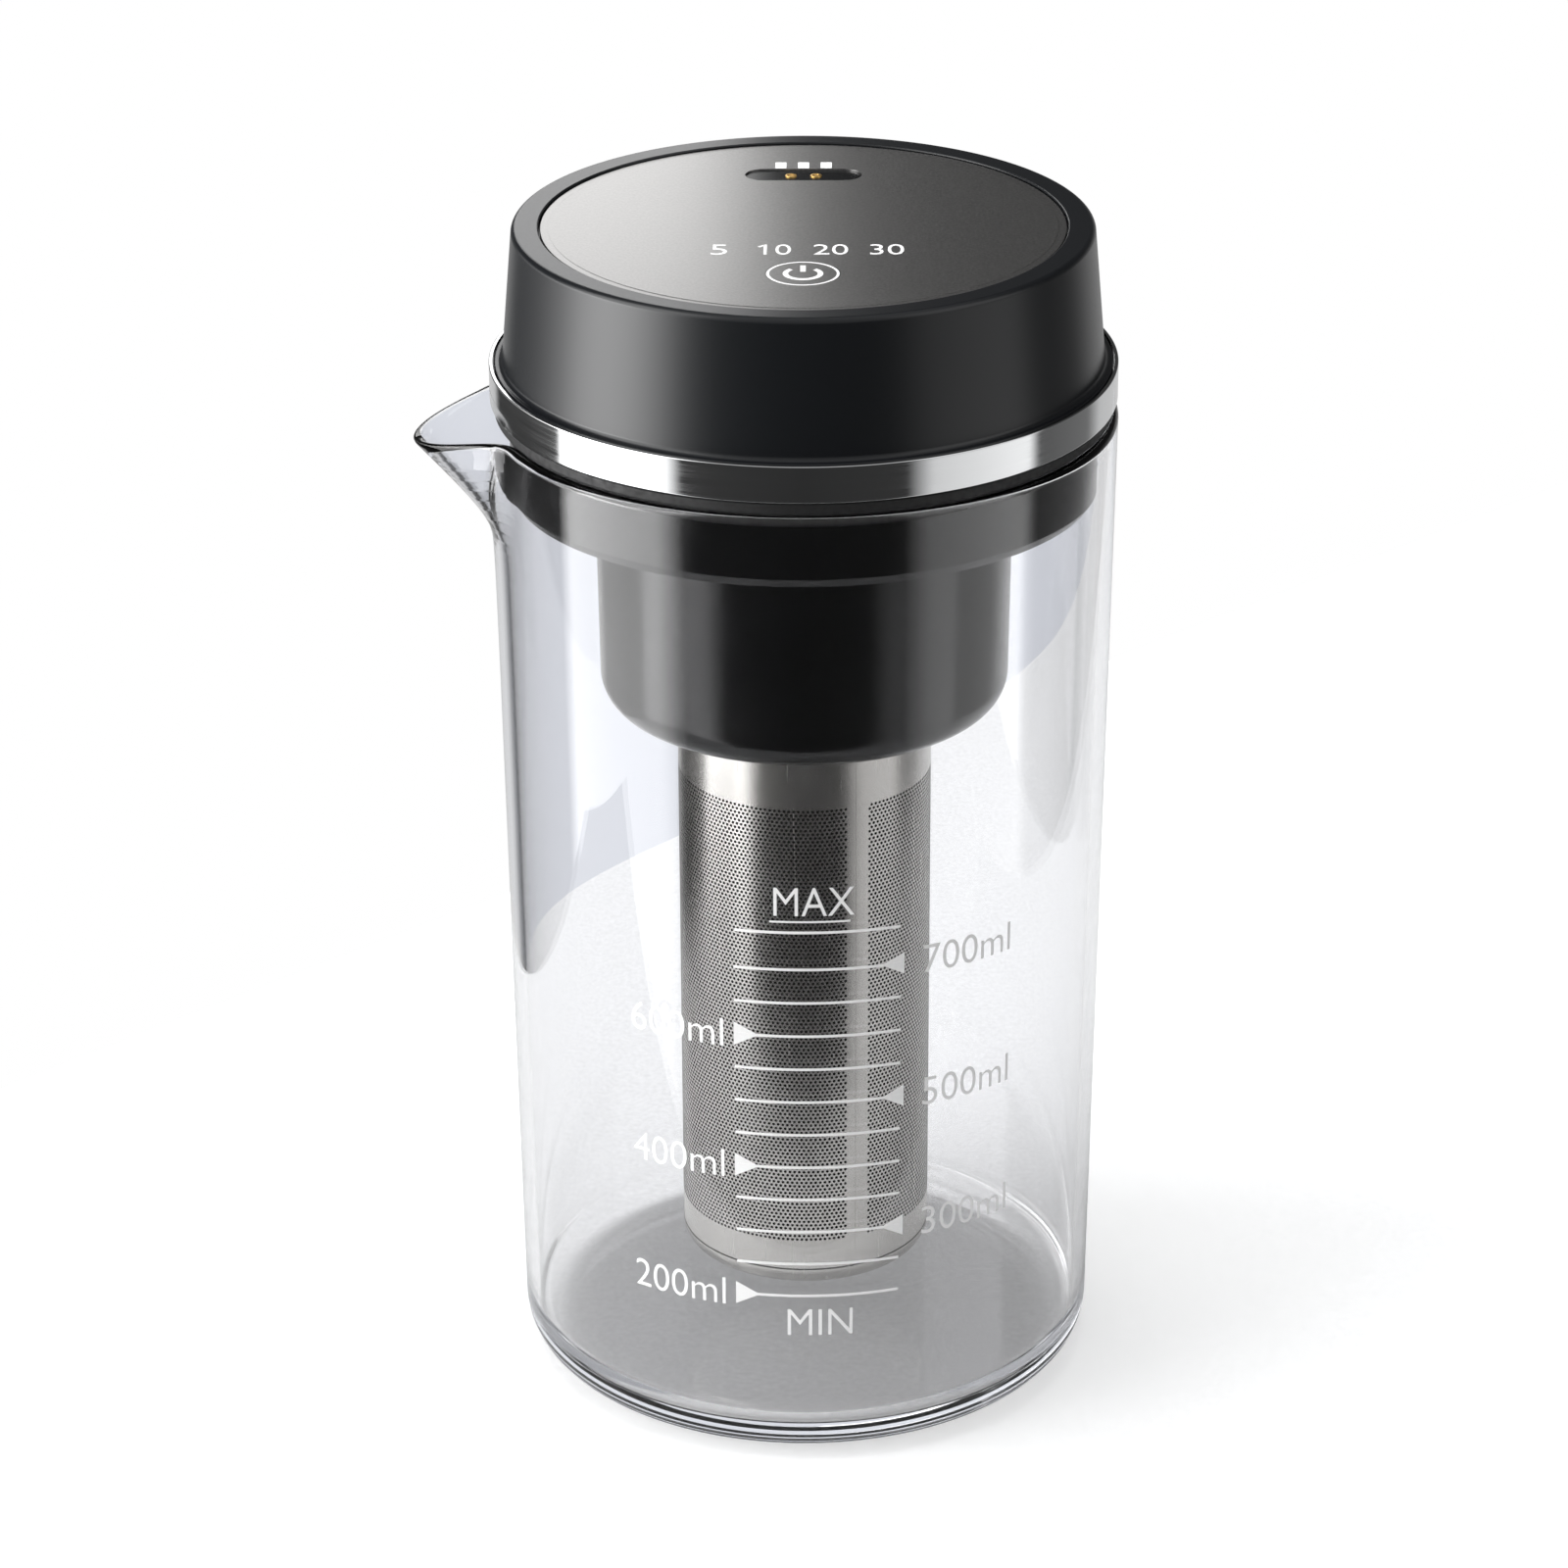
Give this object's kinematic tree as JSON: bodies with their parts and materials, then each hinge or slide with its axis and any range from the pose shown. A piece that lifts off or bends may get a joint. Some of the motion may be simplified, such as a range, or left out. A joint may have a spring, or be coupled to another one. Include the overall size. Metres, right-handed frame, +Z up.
{
  "type": "cold brew coffee maker",
  "caption": "Straight glass coffee jug with pouring spout, a round battery lid with motor cup, and a perforated steel filter with stirrer hanging inside.",
  "frame": {"origin": "centre of the flat underside of the glass jug, on the jug's axis", "axes": "+Z up along the jug's axis, -X towards the pouring spout, -Y towards the power key"},
  "size_m": [0.1195, 0.1064, 0.2092],
  "materials": {
    "clear_glass": "clear borosilicate, fire polished rim",
    "black_silicone": "moulded, dull",
    "grey_silicone": "moulded, dull",
    "satin_black_plastic": "fine satin moulding",
    "gloss_black_plastic": "polished moulding",
    "satin_steel": "satin, blasted",
    "bright_steel": "bright polished stainless steel",
    "brushed_steel": "brushed stainless steel",
    "gilt": "gold plated",
    "zinc_screw": "zinc plated",
    "board_green": "solder mask",
    "chip_black": "moulded",
    "light_pipe": "milky clear",
    "cell_wrap": "shrink film",
    "dark_nylon": "moulded",
    "natural_nylon": "moulded",
    "bronze": "sintered",
    "lead_red": "vinyl sheath"
  },
  "bodies": {
    "jug": {"glass_jug": "clear_glass"},
    "lid": {"rim_gasket": "black_silicone", "steel_band": "bright_steel", "lid_base": "gloss_black_plastic", "top_housing": "satin_black_plastic", "face_plate": "satin_steel", "lid_screw_1": "zinc_screw", "lid_screw_2": "zinc_screw", "lid_screw_3": "zinc_screw", "lid_screw_4": "zinc_screw", "switch_case": "chip_black", "charging_port": "gloss_black_plastic", "charging_contact_1": "gilt", "charging_contact_2": "gilt", "time_light_bar": "light_pipe", "battery_light_pipes": "light_pipe", "time_lamps": "light_pipe", "battery_lamps": "light_pipe", "control_board": "board_green", "control_chip": "chip_black", "power_choke": "chip_black", "board_screw_1": "zinc_screw", "board_screw_2": "zinc_screw", "board_screw_3": "zinc_screw", "board_screw_4": "zinc_screw", "battery_holder": "dark_nylon", "battery_cell_1": "cell_wrap", "battery_cell_2": "cell_wrap", "motor_cup": "gloss_black_plastic", "cup_seal": "black_silicone", "cup_screw_1": "zinc_screw", "cup_screw_2": "zinc_screw", "cup_screw_3": "zinc_screw", "cup_screw_4": "zinc_screw", "motor_can": "bright_steel", "motor_end_cap": "natural_nylon", "motor_plate": "brushed_steel", "plate_screw_1": "zinc_screw", "plate_screw_2": "zinc_screw", "plate_screw_3": "zinc_screw", "motor_screw_1": "zinc_screw", "motor_screw_2": "zinc_screw", "shaft_bush": "bronze", "shaft_seal": "grey_silicone", "filter_socket": "satin_black_plastic", "filter_seal": "grey_silicone", "motor_lead": "lead_red", "battery_lead": "lead_red"},
    "power_button": {"power_key": "satin_steel", "key_stem": "satin_black_plastic", "switch_plunger": "natural_nylon"},
    "stirrer": {"drive_shaft": "bright_steel", "shaft_coupling": "satin_black_plastic", "stirrer_rod": "bright_steel", "impeller": "brushed_steel"},
    "filter": {"filter_collar": "brushed_steel", "filter_tube": "brushed_steel", "filter_base_cap": "brushed_steel"}
  },
  "joints": [
    {"name": "lid_lift", "type": "slide", "parent": "jug", "child": "lid", "axis": [0, 0, 1], "range_m": [0, 0.165]},
    {"name": "power_key_press", "type": "slide", "parent": "lid", "child": "power_button", "axis": [0, 0, -1], "range_m": [0, 0.0008], "stiffness_N_per_m": 1500},
    {"name": "stirrer_spin", "type": "hinge", "parent": "lid", "child": "stirrer", "pos_m": [0, 0, 0.1378], "axis": [0, 0, 1], "continuous": true},
    {"name": "filter_twist", "type": "hinge", "parent": "lid", "child": "filter", "pos_m": [0, 0, 0.124], "axis": [0, 0, 1], "range_deg": [0, 40]}
  ]
}
